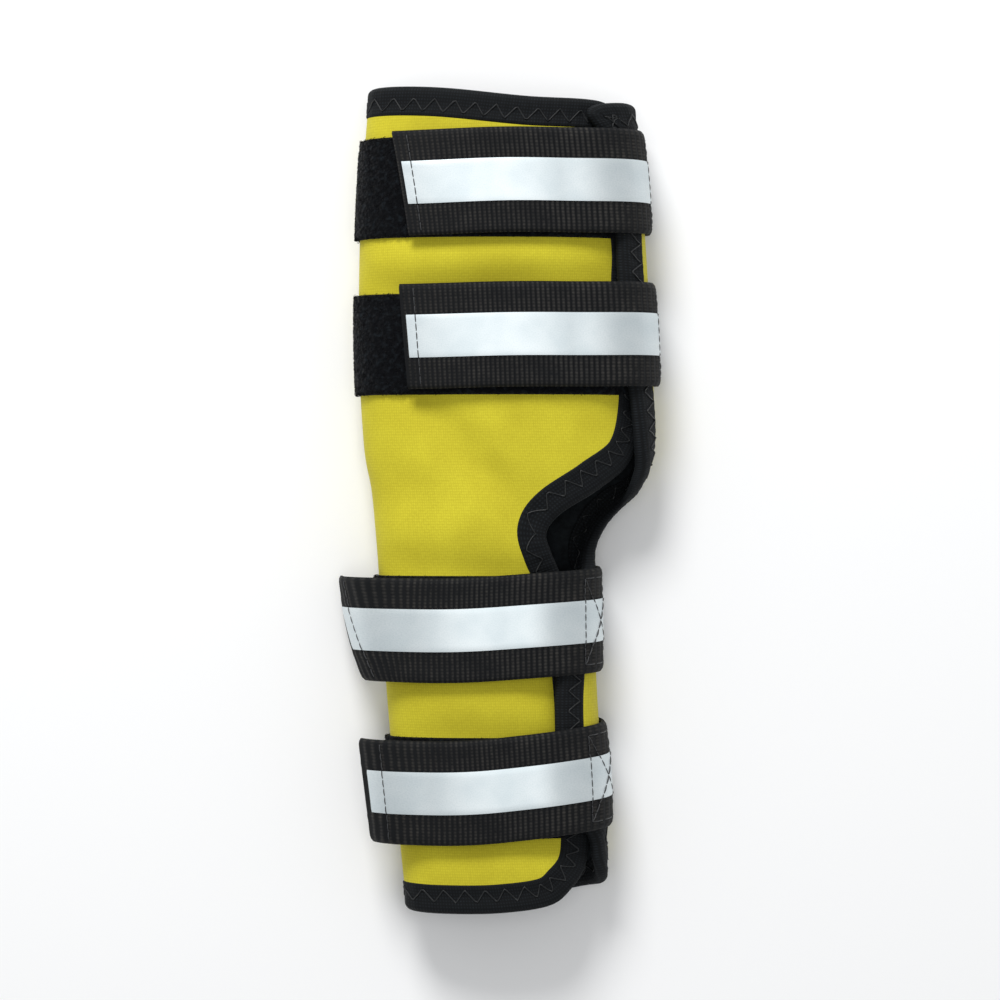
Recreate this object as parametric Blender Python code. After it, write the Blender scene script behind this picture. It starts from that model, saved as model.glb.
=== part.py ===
"""A soft wrap-round wrist support, closed and lying on its back.

The sleeve is a flattened tube cut from one sheet. The sheet starts at the left fold, runs over
the front to its patch edge, and runs the other way under the back and up the right wall to its
strap edge. A place on it is (along, y): along is the distance from the left fold round the
cross-section, positive over the front and negative round the back, and y is the place along the
arm. Pieces are laid on the cross-section at a height above its inner face.
"""

import bmesh
import bpy
import numpy as np
from mathutils import Matrix

mm = 0.001

# Cross-section stations along the arm, wide end last: y, left edge, right edge and crown height
# of the inner face, in millimetres.
stations = (
    (-121, -23.5, 24.2, 19.5),
    (-90, -26.6, 23.4, 20.5),
    (-55, -29.6, 21.0, 21.2),
    (-22, -31.8, 20.3, 21.8),
    (-9, -32.8, 23.5, 22.2),
    (3, -34.0, 33.5, 22.8),
    (16, -36.2, 37.6, 23.5),
    (45, -37.6, 36.8, 24.3),
    (85, -37.0, 34.4, 24.3),
    (121, -34.4, 31.2, 23.5),
)

# The sheet: an outer neoprene layer and a lining, a gap apart. A piece that sits on another keeps
# the seat clearance, which leaves room for the flat facets of the curved pieces.
gap = 0.4 * mm
seat = 0.7 * mm
lining_thickness = 1.3 * mm
outer_thickness = 1.6 * mm
sheet_thickness = lining_thickness + gap + outer_thickness
binding_width = 8.5 * mm
flap_binding_width = 6.0 * mm
wall_height = 10.5 * mm
corner_reach = 15.0 * mm
waist_run_out = 12.0 * mm
crown_power = 2.25
fold_closeness = 0.45
waist_closeness = 0.6
waist_share = 0.46

# The right wall spirals outwards so that its flap lies over the patch edge.
overlap_lift = sheet_thickness + seat
lift_start = -14.0 * mm
lift_end = 0.0 * mm

# Straps: webbing on the flap, reflective tape on the webbing, hook tape under the free end.
webbing_thickness = 1.6 * mm
webbing_width = 30.0 * mm
tape_thickness = 0.5 * mm
tape_width = 12.2 * mm
hook_thickness = 1.1 * mm
hook_width = 27.0 * mm
patch_thickness = 1.2 * mm
patch_width = 29.0 * mm
sewn_length = 9.0 * mm
webbing_on_flap = overlap_lift + sheet_thickness + seat
hinge_clearance = 0.45 * mm
tape_clearance = 1.3 * mm
flap_axis_height = webbing_on_flap + webbing_thickness
leave_share = 0.72
end_rise = 0.8

# Each strap: its name, the y of its middle at the fold and at its free end, the x of the free
# end, how far past the wall its hinge lies and how far the end stands off.
straps = (
    ("forearm_strap_1", 91.8, 90.3, -25.5, 10.4, 0.0),
    ("forearm_strap_2", 47.8, 46.5, -25.0, 10.2, 0.0),
    ("hand_strap_1", -34.6, -37.4, -42.0, 11.6, 7.5),
    ("hand_strap_2", -79.2, -84.2, -31.5, 12.6, 5.0),
)

# Each loop patch: its name, the y of its middle, how far it wraps behind the left fold, and how
# far short of the right wall it stops, clear of the flap that lies over the sheet there.
patches = (
    ("forearm_loop_patch_1", 89.5, 4.0, 11.6),
    ("forearm_loop_patch_2", 44.5, 4.0, 11.0),
    ("hand_loop_patch_1", -36.5, 9.0, 13.4),
    ("hand_loop_patch_2", -83.0, 9.0, 13.6),
)

# Outline of the sheet. The side edges are given as (distance past the right wall's outermost
# line, y), where positive is over the front on the strap side, and the ends as (along, y).
patch_edge = (
    (-7.5, -112), (-3.8, -106.5), (-2.4, -99), (-2, -88), (-2.5, -66), (-3, -46), (-4.5, -32),
    (-7.5, -22), (-11.5, -15), (-15, -9.5), (-15, -4), (-10, 3), (-4, 11.5), (-1.5, 25),
    (-1.2, 42), (-1.5, 66), (-1.5, 88), (-2.5, 102), (-6.5, 110),
)
forearm_flap_edge = (
    (0.0, -2.0), (2.4, 1.0), (4.4, 8.0), (6.2, 17.0), (8.0, 33.0), (9.2, 52.0), (9.6, 70.0),
    (9.0, 85.0), (9.0, 95.0), (9.6, 102.5), (12.6, 106.8), (14.4, 110.6), (12.2, 113.0),
    (6.0, 114.2), (0.0, 114.6),
)
hand_flap_edge = (
    (0.0, -17.5), (2.4, -21.0), (6.0, -27.5), (9.2, -37.0), (11.2, -52.0), (11.8, -70.0),
    (11.0, -82.0), (8.0, -91.0), (4.6, -98.0), (3.4, -105.0), (0.0, -111.0),
)
panel_corners = ((50, -104), (78, 104))
front_top_edge = ((0, 119.0), (22, 118.2), (48, 115.6), (70, 114.6))
back_top_edge = ((0, 119.0), (-24, 118.6), (-50, 116.4), (-66, 115.2))
front_foot_edge = ((0, -119.2), (12, -119.4), (28, -119.0), (42, -116.9))
back_foot_edge = ((0, -119.2), (-20, -119.2), (-38, -117.2), (-52, -113.4))

# Each flap and the y of its pivot on the wall's fold line.
flap_folds = (("forearm_flap", 66.0), ("hand_flap", -63.5))

label_size = (11.5 * mm, 3.4 * mm)
label_thickness = 0.2 * mm
label_y = 58.0 * mm

colours = {
    "yellow_neoprene": ((0.66, 0.58, 0.032), 0.85),
    "black_lining": ((0.017, 0.020, 0.022), 0.9),
    "edge_binding": ((0.016, 0.019, 0.021), 0.75),
    "loop_pile": ((0.003, 0.003, 0.004), 0.95),
    "black_webbing": ((0.015, 0.018, 0.020), 0.7),
    "hook_tape": ((0.008, 0.010, 0.012), 0.6),
    "reflective_tape": ((0.78, 0.88, 0.91), 0.35),
    "woven_label": ((0.75, 0.76, 0.78), 0.8),
}


def clear_scene():
    for item in list(bpy.data.objects):
        bpy.data.objects.remove(item)


def material(name):
    found = bpy.data.materials.get(name)
    if found:
        return found
    made = bpy.data.materials.new(name)
    made.use_nodes = True
    shader = made.node_tree.nodes["Principled BSDF"]
    colour, roughness = colours[name]
    shader.inputs["Base Color"].default_value = (*colour, 1.0)
    shader.inputs["Roughness"].default_value = roughness
    shader.inputs["Metallic"].default_value = 0.0
    return made


def smooth_curve(points, count):
    """A smooth curve through the points, as count places evenly along it."""
    points = np.array(points, float)
    padded = np.vstack([2 * points[0] - points[1], points, 2 * points[-1] - points[-2]])
    t = np.linspace(0, 1, 24, endpoint=False)[:, None]
    pieces = []
    for a, b, c, d in zip(padded, padded[1:], padded[2:], padded[3:]):
        pieces.append(
            0.5 * (2 * b + (c - a) * t + (2 * a - 5 * b + 4 * c - d) * t**2
                   + (3 * b - a - 3 * c + d) * t**3)
        )
    dense = np.vstack([*pieces, points[-1:]])
    return evenly(dense, count)


def spaced(line, shares):
    """Places at shares, 0 to 1, of the length of a polyline."""
    reach = np.concatenate([[0], np.cumsum(np.linalg.norm(np.diff(line, axis=0), axis=1))])
    wanted = shares * reach[-1]
    return np.column_stack([np.interp(wanted, reach, line[:, k]) for k in range(line.shape[1])])


def evenly(line, count):
    """count places evenly spaced along a polyline."""
    return spaced(line, np.linspace(0, 1, count))


class Sleeve:
    """The cross-sections of the tube's inner face, and places measured round them."""

    def __init__(self):
        table = smooth_curve(stations, 161) * mm
        order = np.argsort(table[:, 0])
        self.y = table[order, 0]
        self.left = table[order, 1]
        self.right = table[order, 2]
        crown = table[order, 3]
        turn = np.linspace(0, np.pi, 121)
        quarter = np.linspace(0, np.pi / 2, 41)[1:]
        self.x, self.z, self.reach, self.front = [], [], [], []
        for left, right, height in zip(self.left, self.right, crown):
            middle, half = (left + right) / 2, (right - left) / 2
            base = sheet_thickness
            wall = base + wall_height
            power = 2 / crown_power
            top_x = middle - half * np.sign(np.cos(turn)) * np.abs(np.cos(turn)) ** power
            top_z = wall + (height + base - wall) * np.sin(turn) ** power
            right_x = right - corner_reach * (1 - np.cos(quarter))
            right_z = wall - wall_height * np.sin(quarter)
            flat_x = np.linspace(right_x[-1], left + corner_reach, 41)[1:]
            flat_z = np.full(len(flat_x), base)
            back = quarter[::-1]
            left_x = left + corner_reach * (1 - np.cos(back[1:]))
            left_z = wall - wall_height * np.sin(back[1:])
            x = np.concatenate([top_x, right_x, flat_x, left_x, [left]])
            z = np.concatenate([top_z, right_z, flat_z, left_z, [wall]])
            reach = np.concatenate([[0], np.cumsum(np.hypot(np.diff(x), np.diff(z)))])
            self.x.append(x)
            self.z.append(z)
            self.reach.append(reach)
            self.front.append(reach[len(turn) - 1])
        self.front = np.array(self.front)
        self.around = np.array([reach[-1] for reach in self.reach])

    def front_length(self, y):
        """Distance over the front from the left fold to the right wall."""
        return np.interp(y, self.y, self.front)

    def back_length(self, y):
        """Distance under the back from the left fold to the right wall."""
        return np.interp(y, self.y, self.around - self.front)

    def wall_x(self, y):
        return np.interp(y, self.y, self.right)

    def row(self, index, along, height):
        x, z, reach = self.x[index], self.z[index], self.reach[index]
        whole = reach[-1]
        place = np.mod(along, whole)
        step = 1.2 * mm
        ahead, behind = np.mod(place + step, whole), np.mod(place - step, whole)
        run_x = np.interp(ahead, reach, x) - np.interp(behind, reach, x)
        run_z = np.interp(ahead, reach, z) - np.interp(behind, reach, z)
        size = np.hypot(run_x, run_z)
        here_x, here_z = np.interp(place, reach, x), np.interp(place, reach, z)
        return np.column_stack([here_x - height * run_z / size, here_z + height * run_x / size])

    def place(self, along, y, height):
        """World places of (along, y) at a height above the inner face."""
        along, y, height = np.broadcast_arrays(
            np.asarray(along, float), np.asarray(y, float), np.asarray(height, float)
        )
        low = np.clip(np.searchsorted(self.y, y) - 1, 0, len(self.y) - 2)
        share = np.clip((y - self.y[low]) / (self.y[low + 1] - self.y[low]), 0, 1)
        out = np.zeros((*along.shape, 3))
        for index in np.unique(low):
            here = low == index
            first = self.row(index, along[here], height[here])
            second = self.row(index + 1, along[here], height[here])
            mixed = first + (second - first) * share[here][:, None]
            out[here] = np.column_stack([mixed[:, 0], y[here], mixed[:, 1]])
        out[..., 2] = np.maximum(out[..., 2], 0.0)
        return out


sleeve = Sleeve()


def wall_lift(along, y):
    """How far the right wall and its flap stand outside the patch side of the sheet."""
    past = -along - sleeve.back_length(y)
    share = np.clip((past - lift_start) / (lift_end - lift_start), 0, 1)
    lift = overlap_lift * share * share * (3 - 2 * share)
    return np.where(along < 0, lift, 0.0)


def strap_side(past, y):
    """The along coordinate of a place past the right wall, on the strap side."""
    return -sleeve.back_length(y) - past


def add_solid(name, slot, verts, faces):
    mesh = bpy.data.meshes.new(name)
    shape = bmesh.new()
    points = [shape.verts.new(v) for v in verts]
    for face in faces:
        shape.faces.new([points[i] for i in face])
    bmesh.ops.recalc_face_normals(shape, faces=shape.faces)
    shape.to_mesh(mesh)
    shape.free()
    mesh.shade_smooth()
    mesh.set_sharp_from_angle(angle=np.radians(40))
    made = bpy.data.objects.new(name, mesh)
    made.data.materials.append(material(slot))
    bpy.context.scene.collection.objects.link(made)
    return made


def slab(name, slot, along, y, low, high):
    """A closed slab over a grid of places, from the low height to the high one."""
    rows, columns = along.shape
    under = sleeve.place(along, y, low).reshape(-1, 3)
    over = sleeve.place(along, y, high).reshape(-1, 3)
    count = rows * columns
    faces = []
    for r in range(rows - 1):
        for c in range(columns - 1):
            a = r * columns + c
            b = a + columns + 1
            for half in ((a, a + 1, b), (a, b, a + columns)):
                faces.append(half)
                faces.append(tuple(count + i for i in half[::-1]))
    edge = list(range(columns))
    edge += [r * columns + columns - 1 for r in range(1, rows)]
    edge += [(rows - 1) * columns + c for c in range(columns - 2, -1, -1)]
    edge += [r * columns for r in range(rows - 2, 0, -1)]
    for a, b in zip(edge, edge[1:] + edge[:1]):
        faces.append((a, count + a, count + b, b))
    return add_solid(name, slot, np.vstack([under, over]), faces)


def mixed_grid(foot, head, left, right, rows, columns):
    """A grid of places blended from four edges, closer at the side folds and at the waist."""
    u = np.linspace(0, 1, columns)
    u -= fold_closeness / (4 * np.pi) * np.sin(4 * np.pi * u)
    foot, head = spaced(foot, u), spaced(head, u)
    v = np.linspace(0, 1, rows)
    v -= waist_closeness / (2 * np.pi) * np.sin(2 * np.pi * (v - waist_share))
    v = (v - v[0]) / (v[-1] - v[0])
    left, right = spaced(left, v), spaced(right, v)
    u, v = u[None, :, None], v[:, None, None]
    grid = (1 - v) * foot[None] + v * head[None] + (1 - u) * left[:, None] + u * right[:, None]
    grid -= (1 - u) * (1 - v) * foot[0] + u * (1 - v) * foot[-1]
    grid -= (1 - u) * v * head[0] + u * v * head[-1]
    return grid[..., 0], grid[..., 1]


def strip_grid(first, second, rows, columns):
    """A grid of places between two edges."""
    first, second = evenly(first, rows), evenly(second, rows)
    u = np.linspace(0, 1, columns)[None, :, None]
    grid = first[:, None] * (1 - u) + second[:, None] * u
    return grid[..., 0], grid[..., 1]


def inset(line, width):
    """The polyline moved to its left by width."""
    run = np.gradient(line, axis=0)
    run /= np.linalg.norm(run, axis=1)[:, None]
    return line + width * np.column_stack([-run[:, 1], run[:, 0]])


def side_line(points, side, count=120):
    """An edge given as (distance past the wall, y), as (along, y) in metres."""
    line = smooth_curve(points, count) * mm
    if side == "front":
        return np.column_stack([sleeve.front_length(line[:, 1]) + line[:, 0], line[:, 1]])
    return np.column_stack([strap_side(line[:, 0], line[:, 1]), line[:, 1]])


def wall_line(low, high, past, count=60):
    y = np.linspace(low, high, count)
    return np.column_stack([strap_side(past, y), y])


def sheet_outline():
    """The sleeve part of the sheet's outline, from the wall's foot round to the wall's head."""
    forearm = np.array(forearm_flap_edge[-1]) * mm
    hand = np.array(hand_flap_edge[-1]) * mm
    foot_start = [(strap_side(0, hand[1]) / mm, hand[1] / mm)]
    head_end = [(strap_side(0, forearm[1]) / mm, forearm[1] / mm)]
    side = side_line(patch_edge, "front", 60) / mm
    points = foot_start + list(back_foot_edge[::-1]) + list(front_foot_edge[1:])
    points += [tuple(p) for p in side[2::5]]
    points += list(front_top_edge[::-1]) + list(back_top_edge[1:]) + head_end
    return smooth_curve(points, 420) * mm


def nearest(line, place):
    """The index of the point of a polyline nearest to a place in millimetres."""
    return int(np.argmin(np.linalg.norm(line - np.array(place) * mm, axis=1)))


def cut_at_wall(line):
    """The part of a polyline that stays on the sleeve's side of the right wall."""
    keep = -line[:, 0] - sleeve.back_length(line[:, 1]) < -hinge_clearance
    return line[keep]


def make_sheet():
    """The sleeve's outer panel, lining and edge binding, all on the back, left fold and front."""
    outline = sheet_outline()
    edge = cut_at_wall(outline)
    inner = cut_at_wall(inset(outline, binding_width))
    along, y = strip_grid(edge, inner, 140, 3)
    slab("sleeve_binding", "edge_binding", along, y, wall_lift(along, y),
         wall_lift(along, y) + sheet_thickness)

    inner = cut_at_wall(inset(outline, binding_width + seat))
    corner_foot, corner_head = (nearest(inner, corner) for corner in panel_corners)
    left = waist_inner_line(inner[0], inner[-1])
    along, y = mixed_grid(inner[: corner_foot + 1], inner[corner_head:][::-1], left,
                          inner[corner_foot : corner_head + 1], 22, 36)
    lift = wall_lift(along, y)
    slab("sleeve_lining", "black_lining", along, y, lift, lift + lining_thickness)
    slab("sleeve_outer", "yellow_neoprene", along, y, lift + lining_thickness + gap,
         lift + sheet_thickness)


def waist_edge(y):
    """Distance past the wall of the sleeve panel's edge, in behind the waist's binding."""
    low, high = hand_flap_edge[0][1] * mm, forearm_flap_edge[0][1] * mm
    middle, half = (low + high) / 2, (high - low) / 2 + waist_run_out
    bow = np.clip((y - middle) / half, -1, 1) ** 2
    return -hinge_clearance - (binding_width + seat) * (1 - bow)


def waist_inner_line(start, end):
    """The sleeve panel's strap-side edge: up the wall, and in behind the waist's binding."""
    y = np.linspace(start[1], end[1], 90)
    line = np.column_stack([strap_side(waist_edge(y), y), y])
    line[0], line[-1] = start, end
    return line


def make_waist_binding():
    y = np.linspace(-0.045, 0.03, 151)
    wide = waist_edge(y) + seat < -hinge_clearance - 1.0 * mm
    y = np.linspace(y[wide][0], y[wide][-1], 22)
    outer = np.column_stack([strap_side(-hinge_clearance, y), y])
    inner = np.column_stack([strap_side(waist_edge(y) + seat, y), y])
    along, y = strip_grid(outer, inner, 22, 3)
    lift = wall_lift(along, y)
    slab("waist_binding", "edge_binding", along, y, lift, lift + sheet_thickness)


def make_flap(name, edge_points):
    """A flap: the sheet beyond the wall's fold line, with its bound edge."""
    edge = side_line(edge_points, "strap")
    if edge[0, 1] > edge[-1, 1]:
        edge = edge[::-1]
    past = -edge[:, 0] - sleeve.back_length(edge[:, 1])
    wide = past > 1.4 * mm
    low, high = edge[wide][0, 1], edge[wide][-1, 1]
    y = np.clip(evenly(edge[wide], 30)[:, 1], low, high)
    outer_past = np.interp(y, edge[:, 1], past)
    inner_past = np.maximum(outer_past - flap_binding_width, hinge_clearance)
    outer = np.column_stack([strap_side(outer_past, y), y])
    inner = np.column_stack([strap_side(inner_past, y), y])
    along, rows_y = strip_grid(outer, inner, 30, 3)
    slab(f"{name}_binding", "edge_binding", along, rows_y, overlap_lift,
         overlap_lift + sheet_thickness)

    panel = outer_past - flap_binding_width - seat > hinge_clearance + 0.8 * mm
    y = np.linspace(y[panel][0], y[panel][-1] - flap_binding_width, 16)
    near = np.full(len(y), hinge_clearance)
    far = np.interp(y, edge[:, 1], past) - flap_binding_width - seat
    first = np.column_stack([strap_side(near, y), y])
    second = np.column_stack([strap_side(far, y), y])
    along, rows_y = strip_grid(first, second, 16, 3)
    slab(f"{name}_lining", "black_lining", along, rows_y, overlap_lift,
         overlap_lift + lining_thickness)
    slab(f"{name}_outer", "yellow_neoprene", along, rows_y, overlap_lift + lining_thickness + gap,
         overlap_lift + sheet_thickness)


def front_x_to_along(x, y):
    """The along coordinate of the place on the front whose inner face is at x."""
    tries = np.linspace(0.2 * mm, float(sleeve.front_length(y)), 400)
    reached = sleeve.place(tries, np.full(400, y), 0.0)[:, 0]
    return float(np.interp(x, reached, tries))


def run_of_strap(start, end, middle_start, middle_end, width, columns):
    """A grid along a strap between two places past the wall, with its middle line slanting."""
    share = np.linspace(0, 1, columns)
    past = start + (end - start) * share
    middle = middle_start + (middle_end - middle_start) * share
    across = np.linspace(-0.5, 0.5, 3) * width
    y = middle[None, :] + across[:, None]
    return strap_side(past[None, :] + 0 * y, y), y


def make_strap(name, y_fold, y_end, x_end, hinge_past, stand_off):
    """Webbing in three stretches, with reflective tape above and hook tape below."""
    y_fold, y_end, x_end = y_fold * mm, y_end * mm, x_end * mm
    hinge = hinge_past * mm
    end_along = front_x_to_along(max(x_end, float(np.interp(y_end, sleeve.y, sleeve.left)) + 3 * mm),
                                 y_end)
    around = float(sleeve.front_length(y_end))
    free_end = around - end_along + max(0.0, stand_off * mm)

    along, y = run_of_strap(-sewn_length, -hinge_clearance, y_fold, y_fold, webbing_width, 8)
    low = wall_lift(along, y) + sheet_thickness + seat
    slab(f"{name}_sewn_end", "black_webbing", along, y, low, low + webbing_thickness)

    along, y = run_of_strap(hinge_clearance, hinge - hinge_clearance, y_fold, y_fold,
                            webbing_width, 5)
    low = webbing_on_flap
    slab(f"{name}_fold", "black_webbing", along, y, low, low + webbing_thickness)
    along, y = run_of_strap(tape_clearance, hinge - tape_clearance, y_fold, y_fold, tape_width, 5)
    low += webbing_thickness + seat
    slab(f"{name}_fold_reflector", "reflective_tape", along, y, low, low + tape_thickness)

    free_run(name, hinge, free_end, y_fold, y_end, stand_off * mm)


def free_run(name, hinge, free_end, y_fold, y_end, stand_off):
    """The free stretch of a strap, which follows the front and leaves it before the left fold."""

    def layer(suffix, slot, start, end, width, below, thickness, columns=20):
        along, y = run_of_strap(start, end, y_fold, y_end, width, columns)
        share = np.clip((-along - sleeve.back_length(y) - hinge) / (free_end - hinge), 0, 1)
        y = y_fold + (y_end - y_fold) * share + (y - (y[:1] + y[-1:]) / 2)
        leave = np.clip((share - leave_share) / (1 - leave_share), 0, 1)
        lift = webbing_on_flap + below + stand_off * leave * leave * end_rise
        slab(f"{name}_{suffix}", slot, along, y, lift, lift + thickness)

    layer("free_end", "black_webbing", hinge + hinge_clearance, free_end, webbing_width, 0.0,
          webbing_thickness)
    layer("reflector", "reflective_tape", hinge + tape_clearance, free_end - 1.2 * mm, tape_width,
          webbing_thickness + seat, tape_thickness)
    layer("hook_tape", "hook_tape", hinge + 9 * mm, free_end - 1.0 * mm, hook_width,
          -seat - hook_thickness, hook_thickness)


def make_patch(name, y_middle, wrap, short):
    """A loop patch on the outer face of the patch side, from the flap round the left fold."""
    y = (y_middle + np.array([-0.5, 0.0, 0.5]) * patch_width / mm) * mm
    far = sleeve.front_length(y) - short * mm
    share = np.linspace(0, 1, 24)[None, :] ** 1.25
    along = -wrap * mm * (1 - share) + far[:, None] * share
    low = sheet_thickness + seat
    slab(name, "loop_pile", along, y[:, None] + 0 * along, low, low + patch_thickness)


def make_label():
    """A blank woven label, sewn to the forearm flap's lining by one edge."""
    y = label_y + np.array([-0.5, 0.5]) * label_size[0]
    past = np.linspace(hinge_clearance, hinge_clearance + label_size[1], 4)
    along = strap_side(past[None, :] + 0 * y[:, None], y[:, None] + 0 * past[None, :])
    middle = overlap_lift - seat / 2
    slab("size_label", "woven_label", along, y[:, None] + 0 * along,
         middle - label_thickness / 2, middle + label_thickness / 2)


def hang_on_fold(name, past, y, height, pieces, upper=None):
    """An empty on a fold line, past the wall at y, with the pieces that turn about it."""
    place = sleeve.place(strap_side(past, y), y, height)
    fold = bpy.data.objects.new(name, None)
    bpy.context.scene.collection.objects.link(fold)
    fold.matrix_world = Matrix.Translation(place)
    if upper:
        fold.parent = upper
        fold.matrix_parent_inverse = upper.matrix_world.inverted()
    for piece in pieces:
        piece = bpy.data.objects[piece]
        piece.parent = fold
        piece.matrix_parent_inverse = fold.matrix_world.inverted()
    return fold


def hang_pieces():
    """Each flap turns about the wall's fold line, and each strap about the flap's edge."""
    for flap, y in flap_folds:
        own = [name for name, *_ in straps if name.startswith(flap.split("_")[0])]
        pieces = [f"{flap}_{layer}" for layer in ("outer", "lining", "binding")]
        pieces += [f"{name}_{part}" for name in own for part in ("fold", "fold_reflector")]
        fold = hang_on_fold(f"{flap}_pivot", 0.0, y * mm, flap_axis_height, pieces)
        for name, y_fold, _, _, hinge_past, _ in straps:
            if name in own:
                pieces = [f"{name}_{part}" for part in ("free_end", "reflector", "hook_tape")]
                hang_on_fold(f"{name}_pivot", hinge_past * mm, y_fold * mm, flap_axis_height,
                             pieces, fold)
    label, fold = bpy.data.objects["size_label"], bpy.data.objects["forearm_flap_pivot"]
    label.parent = fold
    label.matrix_parent_inverse = fold.matrix_world.inverted()


def main():
    clear_scene()
    make_sheet()
    make_waist_binding()
    make_flap("forearm_flap", forearm_flap_edge)
    make_flap("hand_flap", hand_flap_edge)
    for patch in patches:
        make_patch(*patch)
    for strap in straps:
        make_strap(*strap)
    make_label()
    hang_pieces()


main()
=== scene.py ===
import bpy
import numpy as np
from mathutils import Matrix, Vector


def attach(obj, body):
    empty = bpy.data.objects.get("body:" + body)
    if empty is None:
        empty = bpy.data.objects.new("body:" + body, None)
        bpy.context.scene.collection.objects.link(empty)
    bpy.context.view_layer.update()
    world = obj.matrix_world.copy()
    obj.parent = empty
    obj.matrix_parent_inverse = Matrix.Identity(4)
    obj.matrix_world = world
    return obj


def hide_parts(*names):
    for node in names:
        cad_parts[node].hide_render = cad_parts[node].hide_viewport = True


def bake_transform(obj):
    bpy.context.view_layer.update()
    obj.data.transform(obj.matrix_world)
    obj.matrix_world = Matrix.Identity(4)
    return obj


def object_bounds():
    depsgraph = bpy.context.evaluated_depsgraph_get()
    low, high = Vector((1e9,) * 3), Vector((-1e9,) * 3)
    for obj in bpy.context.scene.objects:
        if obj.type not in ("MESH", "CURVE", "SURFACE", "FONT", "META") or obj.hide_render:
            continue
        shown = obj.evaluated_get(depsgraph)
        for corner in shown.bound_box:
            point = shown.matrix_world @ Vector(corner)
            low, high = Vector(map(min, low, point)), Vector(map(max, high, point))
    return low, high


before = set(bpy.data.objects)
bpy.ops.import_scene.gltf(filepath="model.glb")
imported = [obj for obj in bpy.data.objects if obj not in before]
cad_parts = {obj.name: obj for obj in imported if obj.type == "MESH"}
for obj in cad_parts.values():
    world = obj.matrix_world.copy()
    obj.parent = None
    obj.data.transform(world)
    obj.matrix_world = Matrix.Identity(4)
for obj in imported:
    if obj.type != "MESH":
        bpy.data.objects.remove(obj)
cadBox = [[float(v) for v in corner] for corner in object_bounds()]
toMetres = 0.001  # sizes below are in millimetres
draws = np.random.default_rng(17)

# A place on the cloth is (along, y): along is the distance round the cross-section from the left
# fold, over the front when positive and under the back when negative. Height is above the inner
# face. "Past" is the distance beyond the outermost line of the strap side's wall.
tube = {
    "stations": (  # y, left edge, right edge, crown height
        (-121, -23.5, 24.2, 19.5), (-90, -26.6, 23.4, 20.5), (-55, -29.6, 21.0, 21.2),
        (-22, -31.8, 20.3, 21.8), (-9, -32.8, 23.5, 22.2), (3, -34.0, 33.5, 22.8),
        (16, -36.2, 37.6, 23.5), (45, -37.6, 36.8, 24.3), (85, -37.0, 34.4, 24.3),
        (121, -34.4, 31.2, 23.5)),
    "base": 3.3,  # height of the inner face over the table
    "wallHeight": 10.5,
    "cornerReach": 15.0,
    "crownPower": 2.25,
    "samples": 900,
    "lowest": -0.45,
}


def smoothCurve(points, count, closed=False):
    points = np.array(points, float)
    if closed:
        padded = np.vstack([points[-1:], points, points[:2]])
    else:
        padded = np.vstack([2 * points[0] - points[1], points, 2 * points[-1] - points[-2]])
    t = np.linspace(0, 1, 24, endpoint=False)[:, None]
    runs = []
    for a, b, c, d in zip(padded, padded[1:], padded[2:], padded[3:]):
        runs.append(0.5 * (2 * b + (c - a) * t + (2 * a - 5 * b + 4 * c - d) * t**2
                           + (3 * b - a - 3 * c + d) * t**3))
    last = points[:1] if closed else points[-1:]
    return evenly(np.vstack([*runs, last]), count)


def lengthsOf(line):
    return np.concatenate([[0], np.cumsum(np.linalg.norm(np.diff(line, axis=0), axis=1))])


def spaced(line, shares):
    reach = lengthsOf(line)
    return np.column_stack([np.interp(shares * reach[-1], reach, column) for column in line.T])


def evenly(line, count):
    return spaced(line, np.linspace(0, 1, count))


def smoothStep(value, start, end):
    share = np.clip((value - start) / (end - start), 0, 1)
    return share * share * (3 - 2 * share)


def crossSection(left, right, crown):  # x, z round the inner face, from the left fold clockwise
    turn, quarter = np.linspace(0, np.pi, 121), np.linspace(0, np.pi / 2, 41)[1:]
    middle, half, power = (left + right) / 2, (right - left) / 2, 2 / tube["crownPower"]
    wall = tube["base"] + tube["wallHeight"]
    topX = middle - half * np.sign(np.cos(turn)) * np.abs(np.cos(turn)) ** power
    topZ = wall + (crown + tube["base"] - wall) * np.sin(turn) ** power
    rightX = right - tube["cornerReach"] * (1 - np.cos(quarter))
    rightZ = wall - tube["wallHeight"] * np.sin(quarter)
    flatX = np.linspace(rightX[-1], left + tube["cornerReach"], 41)[1:]
    leftX = left + tube["cornerReach"] * (1 - np.cos(quarter[-2::-1]))
    leftZ = wall - tube["wallHeight"] * np.sin(quarter[-2::-1])
    x = np.concatenate([topX, rightX, flatX, leftX, [left]])
    z = np.concatenate([topZ, rightZ, np.full(len(flatX), tube["base"]), leftZ, [wall]])
    return np.column_stack([x, z]), len(turn) - 1


def tabulate():  # every station resampled evenly, with its smoothed outward direction
    rows, front, whole = [], [], []
    table = smoothCurve(tube["stations"], 161)
    for _, left, right, crown in table:
        line, wallIndex = crossSection(left, right, crown)
        reach = lengthsOf(line)
        spots = np.linspace(0, reach[-1], tube["samples"], endpoint=False)
        ahead, behind = np.mod(spots + 1.2, reach[-1]), np.mod(spots - 1.2, reach[-1])
        here = np.column_stack([np.interp(spots, reach, column) for column in line.T])
        run = np.column_stack([np.interp(ahead, reach, column) - np.interp(behind, reach, column)
                               for column in line.T])
        run /= np.linalg.norm(run, axis=1)[:, None]
        rows.append(np.column_stack([here, -run[:, 1], run[:, 0]]))
        front.append(reach[wallIndex])
        whole.append(reach[-1])
    return table[:, 0], np.array(rows), np.array(front), np.array(whole)


stationY, sections, frontReach, wholeReach = tabulate()


def frontLength(y):
    return np.interp(y, stationY, frontReach)


def backLength(y):
    return np.interp(y, stationY, wholeReach - frontReach)


def strapSide(past, y):
    return -backLength(y) - past


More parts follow.
